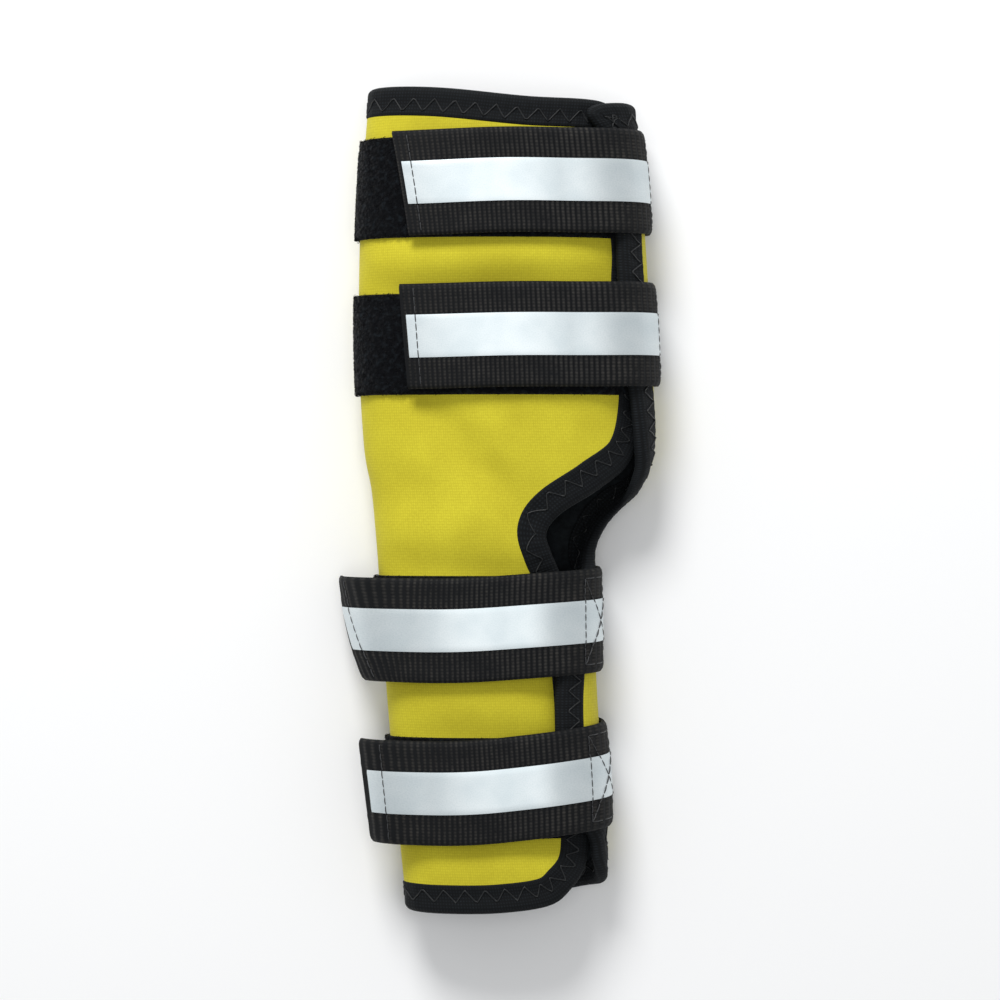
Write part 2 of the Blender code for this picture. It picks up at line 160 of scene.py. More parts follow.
def onStation(index, along, height):
    spot = np.mod(along, wholeReach[index]) / wholeReach[index] * tube["samples"]
    low = np.floor(spot).astype(int)
    share = (spot - low)[:, None]
    low %= tube["samples"]
    found = sections[index, low] * (1 - share)
    found += sections[index, (low + 1) % tube["samples"]] * share
    return found[:, :2] + height[:, None] * found[:, 2:]


def place(along, y, height):
    along, y, height = np.broadcast_arrays(*(np.asarray(v, float) for v in (along, y, height)))
    shape = along.shape
    along, y, height = along.ravel(), y.ravel(), height.ravel()
    low = np.clip(np.searchsorted(stationY, y) - 1, 0, len(stationY) - 2)
    share = np.clip((y - stationY[low]) / (stationY[low + 1] - stationY[low]), 0, 1)[:, None]
    flat = onStation(low, along, height) * (1 - share) + onStation(low + 1, along, height) * share
    spots = np.column_stack([flat[:, 0], y, np.maximum(flat[:, 1], tube["lowest"])])
    return spots.reshape(*shape, 3)


def linear(hexColour):
    parts = [int(hexColour[i : i + 2], 16) / 255 for i in (1, 3, 5)]
    return (*[c / 12.92 if c <= 0.04045 else ((c + 0.055) / 1.055) ** 2.4 for c in parts], 1.0)


def addNode(tree, kind, links=None, stops=(), **settings):  # stops are a colour ramp's two ends
    made = tree.nodes.new(kind)
    for name, value in settings.items():
        setattr(made, name, value)
    for socket, source in (links or {}).items():
        if isinstance(source, bpy.types.NodeSocket):
            tree.links.new(source, made.inputs[socket])
        else:
            made.inputs[socket].default_value = source
    for i, (position, colour) in enumerate(stops):
        made.color_ramp.elements[i].position = position
        made.color_ramp.elements[i].color = linear(colour)
    return made


def newMaterial(name, sockets):  # sockets holds what is the same all over the surface
    made = bpy.data.materials.new(name)
    made.use_nodes = True
    shader = made.node_tree.nodes["Principled BSDF"]
    for socket, value in sockets.items():
        shader.inputs[socket].default_value = value
    return made, made.node_tree, shader


def joinLook(tree, shader, colour, *bumps):  # each bump: its height, strength and depth in mm
    tree.links.new(colour, shader.inputs["Base Color"])
    links = {}
    for height, strength, depth in bumps:
        links.update({"Height": height, "Strength": strength, "Distance": depth * toMetres})
        links["Normal"] = addNode(tree, "ShaderNodeBump", links).outputs["Normal"]
    tree.links.new(links["Normal"], shader.inputs["Normal"])


def clothPlace(tree):  # u along the cloth and v along the arm, in millimetres
    uv = addNode(tree, "ShaderNodeUVMap", uv_map="cloth").outputs["UV"]
    return addNode(tree, "ShaderNodeSeparateXYZ", {"Vector": uv}), uv


def wavesOf(tree, coordinate, pitch):  # 0 to 1, one wave for each pitch
    turns = addNode(tree, "ShaderNodeMath", {0: coordinate, 1: 2 * np.pi / pitch},
                    operation="MULTIPLY")
    wave = addNode(tree, "ShaderNodeMath", {0: turns.outputs[0]}, operation="SINE")
    return addNode(tree, "ShaderNodeMath", {0: wave.outputs[0], 1: 0.5, 2: 0.5},
                   operation="MULTIPLY_ADD")


jersey = {"bright": "#D6CC33", "shade": "#C8BD2C", "walePitch": 0.62, "coursePitch": 0.78,
          "mottlePitch": 17.0, "fuzzPitch": 0.7}


def jerseyNeoprene():
    # Neoprene foam faced with knitted nylon jersey: even matt yellow, with fine upright wales and
    # a little fuzz that lightens the turned edges. The wales are drawn 0.62 mm apart, a
    # little coarser than the real half millimetre, so that they show.
    made, tree, shader = newMaterial("yellowJerseyNeoprene", {
        "Roughness": 0.82, "Specular IOR Level": 0.25, "Sheen Weight": 0.12,
        "Sheen Roughness": 0.45, "Sheen Tint": linear("#FFF6A8")})
    axes, uv = clothPlace(tree)
    mottle = addNode(tree, "ShaderNodeTexNoise", {"Vector": uv, "Scale": 1 / jersey["mottlePitch"],
                                                  "Detail": 3.0})
    fuzz = addNode(tree, "ShaderNodeTexNoise", {"Vector": uv, "Scale": 1 / jersey["fuzzPitch"],
                                                "Detail": 4.0})
    tone = addNode(tree, "ShaderNodeValToRGB", {"Fac": mottle.outputs[0]},
                   stops=((0.32, jersey["shade"]), (0.68, jersey["bright"])))
    wales = wavesOf(tree, axes.outputs["X"], jersey["walePitch"])
    courses = wavesOf(tree, axes.outputs["Y"], jersey["coursePitch"])
    knit = addNode(tree, "ShaderNodeMath", {0: wales.outputs[0], 1: courses.outputs[0]},
                   operation="MULTIPLY")
    dark = addNode(tree, "ShaderNodeValToRGB", {"Fac": knit.outputs[0]},
                   stops=((0.0, "#EEECDF"), (0.55, "#FFFFFF")))
    lint = addNode(tree, "ShaderNodeValToRGB", {"Fac": fuzz.outputs[0]},
                   stops=((0.35, "#EAE7D6"), (0.7, "#FFFFFF")))
    colour = addNode(tree, "ShaderNodeMix", {0: 0.75, 6: tone.outputs[0], 7: dark.outputs[0]},
                     data_type="RGBA", blend_type="MULTIPLY")
    colour = addNode(tree, "ShaderNodeMix", {0: 0.6, 6: colour.outputs[2], 7: lint.outputs[0]},
                     data_type="RGBA", blend_type="MULTIPLY")
    joinLook(tree, shader, colour.outputs[2], (knit.outputs[0], 0.25, 0.07),
             (fuzz.outputs[0], 0.25, 0.12))
    return made


lining = {"dark": "#0F1214", "light": "#1D2225", "loopPitch": 1.1, "woolPitch": 2.4}


def knittedLining():
    # Brushed polyester knit: soft black with a faint blue cast and small loops that catch light.
    made, tree, shader = newMaterial("brushedKnitLining", {
        "Roughness": 0.92, "Specular IOR Level": 0.2, "Sheen Weight": 0.08,
        "Sheen Roughness": 0.5, "Sheen Tint": linear("#6C767B")})
    _, uv = clothPlace(tree)
    loops = addNode(tree, "ShaderNodeTexVoronoi", {"Vector": uv, "Scale": 1 / lining["loopPitch"]})
    wool = addNode(tree, "ShaderNodeTexNoise", {"Vector": uv, "Scale": 1 / lining["woolPitch"],
                                                "Detail": 5.0})
    tone = addNode(tree, "ShaderNodeValToRGB", {"Fac": wool.outputs[0]},
                   stops=((0.35, lining["dark"]), (0.7, lining["light"])))
    joinLook(tree, shader, tone.outputs[0], (loops.outputs["Distance"], 0.5, 0.25),
             (wool.outputs[0], 0.4, 0.4))
    return made


binding = {"dark": "#080A0C", "light": "#1B2024", "ribPitch": 0.8, "yarnPitch": 0.9,
           "lintPitch": 1.6}


def wovenBindingTape():
    # Woven nylon binding tape: charcoal, with fine ribs across the tape and a dry, slight gloss.
    made, tree, shader = newMaterial("wovenNylonBinding", {
        "Roughness": 0.82, "Specular IOR Level": 0.2, "Sheen Weight": 0.04,
        "Sheen Tint": linear("#5E686D")})
    axes, uv = clothPlace(tree)
    ribs = wavesOf(tree, axes.outputs["X"], binding["ribPitch"])
    yarn = wavesOf(tree, axes.outputs["Y"], binding["yarnPitch"])
    weave = addNode(tree, "ShaderNodeMath", {0: ribs.outputs[0], 1: yarn.outputs[0]},
                    operation="MULTIPLY")
    lint = addNode(tree, "ShaderNodeTexNoise", {"Vector": uv, "Scale": 1 / binding["lintPitch"],
                                                "Detail": 4.0})
    tops = addNode(tree, "ShaderNodeMath", {0: weave.outputs[0], 1: lint.outputs[0]},
                   operation="MULTIPLY")
    tone = addNode(tree, "ShaderNodeValToRGB", {"Fac": tops.outputs[0]},
                   stops=((0.05, binding["dark"]), (0.6, binding["light"])))
    joinLook(tree, shader, tone.outputs[0], (weave.outputs[0], 0.5, 0.18),
             (lint.outputs[0], 0.3, 0.25))
    return made


# The webbing's groove colour is painted shade in the grooves, and its rib colour is a painted highlight
# on the rib tops.
webbingLook = {"grooveShade": "#06080B", "rib": "#34322F", "ribPitch": 1.3, "yarnPitch": 0.95,
               "lintPitch": 1.1, "patchPitch": 9.0}


def ribbedWebbing():
    # Ribbed woven webbing: charcoal, with a brownish grey painted highlight on the rib tops and painted
    # shade in the grooves, broken into short yarn ends, so that it looks as if light catches it in
    # dotted lines across the strap.
    made, tree, shader = newMaterial("ribbedPolyesterWebbing", {
        "Roughness": 0.76, "Specular IOR Level": 0.22, "Sheen Weight": 0.03,
        "Sheen Tint": linear("#6B6A64")})
    axes, uv = clothPlace(tree)
    ribs = wavesOf(tree, axes.outputs["X"], webbingLook["ribPitch"])
    yarn = wavesOf(tree, axes.outputs["Y"], webbingLook["yarnPitch"])
    knots = addNode(tree, "ShaderNodeMath", {0: yarn.outputs[0], 1: 0.55, 2: 0.45},
                    operation="MULTIPLY_ADD")
    tops = addNode(tree, "ShaderNodeMath", {0: ribs.outputs[0], 1: knots.outputs[0]},
                   operation="MULTIPLY")
    lit = tops
    # Two noises break the painted rib-top highlight into dotted patches.
    for pitch, detail in ((webbingLook["lintPitch"], 4.0), (webbingLook["patchPitch"], 2.0)):
        ribHighlightBreakup = addNode(tree, "ShaderNodeTexNoise", {"Vector": uv, "Scale": 1 / pitch,
                                                    "Detail": detail})
        lit = addNode(tree, "ShaderNodeMath", {0: lit.outputs[0], 1: ribHighlightBreakup.outputs[0]},
                      operation="MULTIPLY")
    # The ramp paints the grooves dark and the rib tops light: painted shade and a painted highlight.
    tone = addNode(tree, "ShaderNodeValToRGB", {"Fac": lit.outputs[0]},
                   stops=((0.05, webbingLook["grooveShade"]), (0.36, webbingLook["rib"])))
    joinLook(tree, shader, tone.outputs[0], (tops.outputs[0], 0.5, 0.2))
    return made


pileLook = {"dark": "#050609", "light": "#161B1F", "loopPitch": 0.9, "speckPitch": 1.5}


def brushedLoopPile():
    # Brushed nylon loop: the deepest black here, with scattered specks where loops face the light.
    made, tree, shader = newMaterial("brushedNylonLoop", {
        "Roughness": 0.97, "Specular IOR Level": 0.1, "Sheen Weight": 0.04})
    _, uv = clothPlace(tree)
    loops = addNode(tree, "ShaderNodeTexVoronoi", {"Vector": uv, "Scale": 1 / pileLook["loopPitch"]})
    specks = addNode(tree, "ShaderNodeTexNoise", {"Vector": uv, "Scale": 1 / pileLook["speckPitch"],
                                                  "Detail": 5.0})
    tone = addNode(tree, "ShaderNodeValToRGB", {"Fac": specks.outputs[0]},
                   stops=((0.5, pileLook["dark"]), (0.72, pileLook["light"])))
    joinLook(tree, shader, tone.outputs[0], (loops.outputs["Distance"], 0.8, 0.5))
    return made


def mouldedHooks():
    # Moulded nylon hook tape: semi-gloss black stems on a smooth ribbed base.
    made, tree, shader = newMaterial("mouldedNylonHooks", {"Roughness": 0.42})
    axes, _ = clothPlace(tree)
    rows = wavesOf(tree, axes.outputs["Y"], 1.5)
    tone = addNode(tree, "ShaderNodeValToRGB", {"Fac": rows.outputs[0]},
                   stops=((0.1, "#0F1215"), (0.9, "#1B2024")))
    joinLook(tree, shader, tone.outputs[0], (rows.outputs[0], 0.4, 0.2))
    return made


tapeLook = {"shade": "#D3DCDF", "bright": "#DEE5E7", "cloudPitch": 11.0, "beadPitch": 0.35}


def glassBeadTape():
    # Glass-bead reflective tape on a polyester back: bright cold silver that goes grey where it
    # turns away from the light, with faint clouding and a fine bead grain.
    made, tree, shader = newMaterial("glassBeadReflectiveTape", {"Metallic": 0.6})
    _, uv = clothPlace(tree)
    clouds = addNode(tree, "ShaderNodeTexNoise", {"Vector": uv, "Scale": 1 / tapeLook["cloudPitch"],
                                                  "Detail": 2.0})
    beads = addNode(tree, "ShaderNodeTexNoise", {"Vector": uv, "Scale": 1 / tapeLook["beadPitch"],
                                                 "Detail": 1.0})
    tone = addNode(tree, "ShaderNodeValToRGB", {"Fac": clouds.outputs[0]},
                   stops=((0.38, tapeLook["shade"]), (0.66, tapeLook["bright"])))
    grain = addNode(tree, "ShaderNodeValToRGB", {"Fac": beads.outputs[0]},
                    stops=((0.3, "#EDF1F2"), (0.6, "#FFFFFF")))
    colour = addNode(tree, "ShaderNodeMix", {0: 0.6, 6: tone.outputs[0], 7: grain.outputs[0]},
                     data_type="RGBA", blend_type="MULTIPLY")
    rough = addNode(tree, "ShaderNodeMapRange", {"Value": beads.outputs[0], "To Min": 0.42,
                                                 "To Max": 0.55})
    tree.links.new(rough.outputs[0], shader.inputs["Roughness"])
    joinLook(tree, shader, colour.outputs[2], (beads.outputs[0], 0.25, 0.05))
    return made


def satinLabel():
    # Woven polyester satin: cool white with fine slanted threads. It is blank.
    made, tree, shader = newMaterial("wovenSatinLabel", {"Roughness": 0.55})
    axes, _ = clothPlace(tree)
    threads = wavesOf(tree, axes.outputs["Y"], 0.35)
    tone = addNode(tree, "ShaderNodeValToRGB", {"Fac": threads.outputs[0]},
                   stops=((0.0, "#D3D7DA"), (1.0, "#EDF0F2")))
    joinLook(tree, shader, tone.outputs[0], (threads.outputs[0], 0.3, 0.05))
    return made


def polyesterThread(name, dark, light):
    # Bonded polyester sewing thread: twisted, so each stitch has small slanting glints.
    made, tree, shader = newMaterial(name, {"Roughness": 0.5})
    where = addNode(tree, "ShaderNodeTexCoord")
    fibres = addNode(tree, "ShaderNodeTexNoise", {"Vector": where.outputs["Object"],
                                                  "Scale": 4200.0, "Detail": 2.0})
    tone = addNode(tree, "ShaderNodeValToRGB", {"Fac": fibres.outputs[0]},
                   stops=((0.3, dark), (0.7, light)))
    joinLook(tree, shader, tone.outputs[0], (fibres.outputs[0], 0.4, 0.08))
    return made


finishes = {
    "jersey": jerseyNeoprene(), "lining": knittedLining(), "binding": wovenBindingTape(),
    "webbing": ribbedWebbing(), "pile": brushedLoopPile(), "hooks": mouldedHooks(),
    "tape": glassBeadTape(), "label": satinLabel(),
    "thread": polyesterThread("blackSewingThread", "#060708", "#15181A"),
    "strapThread": polyesterThread("darkGreySewingThread", "#1B1C1E", "#3A3B3D"),
}
print("materials ready:", len(finishes))

cloth = {"lining": 1.5, "outerFrom": 1.6, "thickness": 3.3, "lift": 4.0, "liftStart": -14.0,
         "seamFromWall": 22.0, "waistY": -9.75}
outline = {  # (past, y) down each flap and up the patch edge, (along, y) for the two ends
    "handFlap": ((0.0, -17.5), (2.4, -21), (6, -27.5), (9.2, -37), (11.2, -52), (11.8, -70),
                 (11, -82), (8, -91), (4.6, -98), (3.4, -105), (0, -111)),
    "backFoot": ((-52, -113.4), (-38, -117.2), (-20, -119.2), (0, -119.2)),
    "frontFoot": ((12, -119.4), (28, -119), (42, -116.9)),
    "patchEdge": ((-7.5, -112), (-3.8, -106.5), (-2.4, -99), (-2, -88), (-2.5, -66), (-3, -46),
                  (-4.5, -32), (-7.5, -22), (-11.5, -15), (-15, -9.5), (-15, -4), (-10, 3),
                  (-4, 11.5), (-1.5, 25), (-1.2, 42), (-1.5, 66), (-1.5, 88), (-2.5, 102),
                  (-6.5, 110)),
    "frontTop": ((70, 114.6), (48, 115.6), (22, 118.2), (0, 119)),
    "backTop": ((-24, 118.6), (-50, 116.4), (-66, 115.2)),
    "forearmFlap": ((0, 114.6), (6, 114.2), (12.2, 113), (14.4, 110.6), (12.6, 106.8),
                    (9.6, 102.5), (9, 95), (9, 85), (9.6, 70), (9.2, 52),
                    (8, 33), (6.2, 17), (4.4, 8), (2.4, 1), (0, -2)),
    "waist": ((-0.5, -6), (-0.5, -9.75), (-0.5, -13.5)),
    "spacing": 0.6,
}
tapeEdge = {"width": 8.5, "flapWidth": 6.0, "proud": 0.38, "round": 1.9, "dip": 0.3,
            "zigzagFrom": 3.4, "zigzagTo": 7.2, "zigzagPitch": 5.8, "threadRadius": 0.21}


def pastOf(along, y):
    return -along - backLength(y)


def wallLift(along, y):
    lift = cloth["lift"] * smoothStep(pastOf(along, y), cloth["liftStart"], 0.0)
    return np.where(along < 0, lift, 0.0)


folds = (  # soft shapes on the front: middle along, middle y, half sizes, slant, height
    (34, 11, 4.2, 20, -34, -1.7), (21, 12, 6, 20, -30, 1.0), (50, 26, 12, 12, 0, 0.8),
    (24, -8, 13, 7, 0, 1.0), (38, 70, 34, 4.2, -2, 1.2), (38, 59.5, 30, 4.2, -3, -1.9),
    (40, -22.5, 30, 4.4, 6, -1.7), (30, -57, 22, 4.6, 3, 1.0), (34, -69.5, 24, 3.6, 3, -1.0),
    (34, -106, 20, 4.5, 2, 1.0), (34, -95.5, 24, 3.4, 2, -0.7), (52, -60, 3.4, 10, 0, -0.9),
    (66, 32, 5, 7, -20, 0.6), (18, 30, 5, 9, 20, -0.7),
)


def softForm(along, y):
    total = np.zeros(np.broadcast(along, y).shape)
    for middle, middleY, halfAlong, halfY, slant, height in folds:
        angle = np.radians(slant)
        u = (along - middle) * np.cos(angle) - (y - middleY) * np.sin(angle)
        v = (along - middle) * np.sin(angle) + (y - middleY) * np.cos(angle)
        total += height * np.exp(-0.5 * ((u / halfAlong) ** 2 + (v / halfY) ** 2))
    return total * smoothStep(along, 2, 10) * smoothStep(frontLength(y) - along, 2, 12)


def setPlaces(mesh, uv):  # one place on the cloth for each vertex
    corners = np.zeros(len(mesh.loops), int)
    mesh.loops.foreach_get("vertex_index", corners)
    mesh.uv_layers["cloth"].data.foreach_set("uv", uv[corners].astype(np.float32).ravel())


def addMesh(name, finish, spots, faces, uv=None, sharp=60):
    mesh = bpy.data.meshes.new(name)
    mesh.from_pydata((spots * toMetres).tolist(), [], faces)
    if uv is not None:
        mesh.uv_layers.new(name="cloth")
        setPlaces(mesh, uv)
    mesh.shade_smooth()
    mesh.set_sharp_from_angle(angle=np.radians(sharp))
    mesh.materials.append(finishes[finish])
    made = bpy.data.objects.new(name, mesh)
    bpy.context.scene.collection.objects.link(made)
    return made


def closedSlab(name, finish, along, y, low, high, sharp=60):
    rows, columns = along.shape
    under, over = place(along, y, low), place(along, y, high)
    count = rows * columns
    r, c = np.meshgrid(np.arange(rows - 1), np.arange(columns - 1), indexing="ij")
    a = (r * columns + c).ravel()
    top = np.column_stack([a, a + columns, a + columns + 1, a + 1]) + count
    bottom = np.column_stack([a, a + 1, a + columns + 1, a + columns])
    rim = list(range(columns)) + [i * columns + columns - 1 for i in range(1, rows)]
    rim += [(rows - 1) * columns + i for i in range(columns - 2, -1, -1)]
    rim += [i * columns for i in range(rows - 2, 0, -1)]
    rim = np.array(rim)
    after = np.roll(rim, -1)
    sides = np.column_stack([rim, rim + count, after + count, after])
    faces = np.vstack([top, bottom, sides])
    spots = np.vstack([under.reshape(-1, 3), over.reshape(-1, 3)])
    uv = np.tile(np.column_stack([along.ravel(), y.ravel()]), (2, 1))
    if signedVolume(spots, faces) < 0:
        faces = faces[:, ::-1]
    return addMesh(name, finish, spots, faces.tolist(), uv, sharp)


def signedVolume(spots, faces):
    a, b, c, d = (spots[faces[:, k]] for k in range(4))
    return float(np.sum(np.cross(a, b) * c) + np.sum(np.cross(a, c) * d))


def wholeOutline():
    points = [(strapSide(past, y), y) for past, y in outline["handFlap"]]
    points += outline["backFoot"] + outline["frontFoot"]
    points += [(frontLength(y) + past, y) for past, y in outline["patchEdge"]]
    points += outline["frontTop"] + outline["backTop"]
    points += [(strapSide(past, y), y) for past, y in outline["forearmFlap"] + outline["waist"]]
    rough = smoothCurve(points, 2400, closed=True)
    count = int(lengthsOf(rough)[-1] / outline["spacing"])
    return evenly(rough, count + 1)[:-1]


def spread(values, reach):  # a moving average round a closed line
    kernel = np.hanning(2 * reach + 1)
    kernel /= kernel.sum()
    wrapped = np.concatenate([values[-reach:], values, values[:reach]])
    return np.convolve(wrapped, kernel, mode="valid")


edgeLine = wholeOutline()
edgeRun = np.roll(edgeLine, -1, axis=0) - np.roll(edgeLine, 1, axis=0)
edgeRun /= np.linalg.norm(edgeRun, axis=1)[:, None]
inward = np.column_stack([spread(-edgeRun[:, 1], 11), spread(edgeRun[:, 0], 11)])
inward /= np.linalg.norm(inward, axis=1)[:, None]
edgePast = np.where(edgeLine[:, 0] < 0, pastOf(edgeLine[:, 0], edgeLine[:, 1]), -99)
onFlap = smoothStep(edgePast, -12, 2) * (1 - 0.75 * smoothStep(edgeLine[:, 1], 99, 108))
edgeWidth = tapeEdge["width"] + (tapeEdge["flapWidth"] - tapeEdge["width"]) * spread(onFlap, 12)


def offEdge(depth):  # the outline moved in by a depth
    return edgeLine + inward * np.asarray(depth)[..., None]


seamAlong = -backLength(edgeLine[:, 1]) + cloth["seamFromWall"]
onSleeve = edgeLine[:, 0] > seamAlong
onForearm = ~onSleeve & (edgeLine[:, 1] > cloth["waistY"])
onHand = ~onSleeve & ~onForearm


def stretchOf(mask):  # the indices of one unbroken stretch of the closed outline, in order
    start = int(np.flatnonzero(mask & ~np.roll(mask, 1))[0])
    return (start + np.arange(int(mask.sum()) + 1)) % len(mask)


stretches = {"Sleeve": stretchOf(onSleeve), "Forearm": stretchOf(onForearm),
             "Hand": stretchOf(onHand)}
nodesOf = {
    "Sleeve": ("sleeve_outer", "sleeve_lining", ("sleeve_binding", "waist_binding")),
    "Forearm": ("forearm_flap_outer", "forearm_flap_lining", ("forearm_flap_binding",)),
    "Hand": ("hand_flap_outer", "hand_flap_lining", ("hand_flap_binding",)),
}
wallBend = {  # where the cloth's bend beside each flap's fold line starts and ends; followCloth reads these but bends nothing
    "Forearm": ((45.7, 66, 7.5), (45.7, 66, 19.0), "forearm_flap"),
    "Hand": ((30.8, -63.5, 7.5), (30.8, -63.5, 19.0), "hand_flap"),
}


def followCloth(piece, part):
    if part == "Sleeve":
        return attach(piece, "sleeve")
    start, end, flap = wallBend[part]
    start, end = ([v * toMetres for v in spot] for spot in (start, end))
    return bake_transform(piece)


print("outline ready:", len(edgeLine), {part: len(found) for part, found in stretches.items()})


def clothRise(along, y):
    return wallLift(along, y) + softForm(along, y)


def mixedGrid(foot, head, left, right, rows, columns):  # places blended from four edges
    u, v = np.linspace(0, 1, columns), np.linspace(0, 1, rows)
    foot, head, left, right = spaced(foot, u), spaced(head, u), spaced(left, v), spaced(right, v)
    u, v = u[None, :, None], v[:, None, None]
    grid = (1 - v) * foot[None] + v * head[None] + (1 - u) * left[:, None] + u * right[:, None]
    grid -= (1 - u) * ((1 - v) * foot[0] + v * head[0])
    grid -= u * ((1 - v) * foot[-1] + v * head[-1])
    for _ in range(900):  # evens the spacing, so that no cell folds over beside a curved edge
        grid[1:-1, 1:-1] = (grid[:-2, 1:-1] + grid[2:, 1:-1]
                            + grid[1:-1, :-2] + grid[1:-1, 2:]) / 4
    return grid[..., 0], grid[..., 1]


underBinding = 1.6  # how far the cloth runs in under its bound edge
clothEdge = offEdge(edgeWidth - underBinding)
panels = {  # rows and columns of each grid, and its corners beside the bound edge
    "Sleeve": {"grid": (250, 190), "corners": ((53, -106), (79, 107))},
    "Forearm": {"grid": (130, 44), "corner": (8.0, 108.5)},
    "Hand": {"grid": (120, 40), "corner": (-1.0, -103.0)},
}


def cornerIndex(line, along, y):
    return int(np.argmin(np.hypot(line[:, 0] - along, line[:, 1] - y)))


def seamBetween(start, end):  # the join between the sleeve's back and each wall, under the back
    y = np.linspace(start[1], end[1], 200)
    along = -backLength(y) + cloth["seamFromWall"]
    footGap = start[0] - along[0]
    headGap = end[0] - along[-1]
    along = along + footGap * (1 - smoothStep(y - y[0], 0, 12))
    return np.column_stack([along + headGap * (1 - smoothStep(y[-1] - y, 0, 12)), y])


def panelGrid(part):
    line = clothEdge[stretches[part]]
    whole = clothEdge[stretches["Sleeve"]]
    seam = seamBetween(whole[0], whole[-1])
    waist = cloth["waistY"]
    onSeam = np.array([np.interp(waist, seam[:, 1], seam[:, 0]), waist])
    rows, columns = panels[part]["grid"]
    if part == "Sleeve":
        low, high = (cornerIndex(line, *corner) for corner in panels[part]["corners"])
        return mixedGrid(line[: low + 1], line[high:][::-1], seam, line[low : high + 1],
                         rows, columns)
    past, y = panels[part]["corner"]
    corner = cornerIndex(line, float(strapSide(past, y)), y)
    if part == "Forearm":
        seam = np.vstack([onSeam, seam[seam[:, 1] > waist]])
        return mixedGrid(np.array([onSeam, line[-1]]), line[: corner + 1], seam,
                         line[corner:][::-1], rows, columns)
    seam = np.vstack([seam[seam[:, 1] < waist], onSeam])
    return mixedGrid(line[corner:][::-1], np.array([onSeam, line[0]]), seam,
                     line[: corner + 1][::-1], rows, columns)


def makeClothPanels():
    shells, linings = {}, {}
    for part in stretches:
        along, y = panelGrid(part)
        rise = clothRise(along, y)
        shells[part] = closedSlab(f"jerseyShell{part}", "jersey", along, y,
                                  rise + cloth["outerFrom"], rise + cloth["thickness"])
        linings[part] = closedSlab(f"knitLining{part}", "lining", along, y,
                                   rise, rise + cloth["lining"])
    return shells, linings


def declareCloth(part):  # the places of each panel's middle layer, in metres; no flat cut is made from them
    along, y = panelGrid(part)
    height = clothRise(along, y) + cloth["thickness"] / 2
    middle = place(along, y, height) * toMetres


def bindingProfile(depth, width, run):  # heights of the tape's two faces above the cloth's middle
    middle = cloth["thickness"] / 2
    share = np.sqrt(np.clip(1 - (1 - depth / tapeEdge["round"]) ** 2, 0.03, 1))
    share = np.where(depth < tapeEdge["round"], share, 1.0)
    centre = width * 0.62
    sewn = np.exp(-(((depth - centre) / 1.5) ** 2))
    pucker = 0.1 * np.sin(2 * np.pi * run / tapeEdge["zigzagPitch"] * 2) * (
        1 - np.abs(depth - centre) / width)
    wander = 0.12 * np.sin(run / 9.3) + 0.1 * np.sin(run / 4.1 + 1.7)
    cut = smoothStep(width - depth, 0.0, 0.45)
    proud = (tapeEdge["proud"] + 0.35 * wander + pucker) * cut - tapeEdge["dip"] * sewn * cut
    proud = np.maximum(proud, -0.06 + 0.12 * cut)
    half = (middle + proud) * share
    return middle - half, middle + half


def edgeRows(index):  # run along the outline at each row of a stretch
    return (np.arange(len(index)) + index[0]) * outline["spacing"]


bindingDepths = np.array([0, 0.08, 0.25, 0.55, 1.0, 1.5, 2.1, 2.8, 3.5, 4.2, 4.9, 5.6, 6.3, 7.0,
                          7.6, 8.0, 8.25, 8.5]) / 8.5


def makeBinding(part):
    index = stretches[part]
    width = edgeWidth[index][:, None]
    depth = bindingDepths[None, :] * width
    run = edgeRows(index)[:, None] + 0 * depth
    spots = edgeLine[index][:, None] + inward[index][:, None] * depth[..., None]
    along, y = spots[..., 0], spots[..., 1]
    rise = clothRise(along, y)
    low, high = bindingProfile(depth, width, run)
    made = closedSlab(f"edgeBinding{part}", "binding", along, y, rise + low, rise + high, sharp=75)
    setPlaces(made.data, np.tile(np.column_stack([run.ravel(), depth.ravel()]), (2, 1)))
    return made


def tubeAlong(paths, ups, radius, sides=5):  # closed thin tubes, each along its own path
    spots, faces = [], []
    count = 0
    turn = np.arange(sides) / sides * 2 * np.pi
    for path, up in zip(paths, ups):
        run = np.gradient(path, axis=0)
        run /= np.linalg.norm(run, axis=1)[:, None]
        side = np.cross(run, up)
        side /= np.linalg.norm(side, axis=1)[:, None]
        upright = np.cross(side, run)
        ring = (path[:, None] + radius * (np.cos(turn)[None, :, None] * side[:, None]
                                          + np.sin(turn)[None, :, None] * upright[:, None]))
        spots.append(ring.reshape(-1, 3))
        for i in range(len(path) - 1):
            for k in range(sides):
                a, b = count + i * sides + k, count + i * sides + (k + 1) % sides
                faces.append((a, b, b + sides, a + sides))
        last = count + (len(path) - 1) * sides
        faces.append(tuple(range(count + sides - 1, count - 1, -1)))
        faces.append(tuple(range(last, last + sides)))
        count += len(path) * sides
    return np.vstack(spots), faces


def raised(along, y, height):  # places on a face, and the outward direction at each
    spots = place(along, y, height)
    up = place(along, y, height + 1.0) - spots
    up[np.linalg.norm(up, axis=1) < 0.2] = (0, 0, -1)
    return spots, up / np.linalg.norm(up, axis=1)[:, None]


def makeZigzag(part, face):
    index = stretches[part]
    width = edgeWidth[index]
    run = edgeRows(index)
    turns = np.mod(run / tapeEdge["zigzagPitch"], 1)
    swing = 1 - np.abs(2 * turns - 1) * 2
    scale = width / tapeEdge["width"]
    middle = (tapeEdge["zigzagFrom"] + tapeEdge["zigzagTo"]) / 2 * scale
    depth = middle + swing * (tapeEdge["zigzagTo"] - tapeEdge["zigzagFrom"]) / 2 * scale
    spots = edgeLine[index] + inward[index] * depth[:, None]
    along, y = spots.T
    low, high = bindingProfile(depth, width, run)
    dimple = 0.12 * np.abs(np.sin(run / tapeEdge["zigzagPitch"] * 2 * np.pi * 1.5))
    height = high + 0.04 + dimple if face == "Outer" else low - 0.04 - dimple
    path, up = raised(along, y, clothRise(along, y) + height)
    shape = tubeAlong([path], [up], tapeEdge["threadRadius"])
    return addMesh(f"zigzagStitch{face}{part}", "thread", *shape, sharp=80)


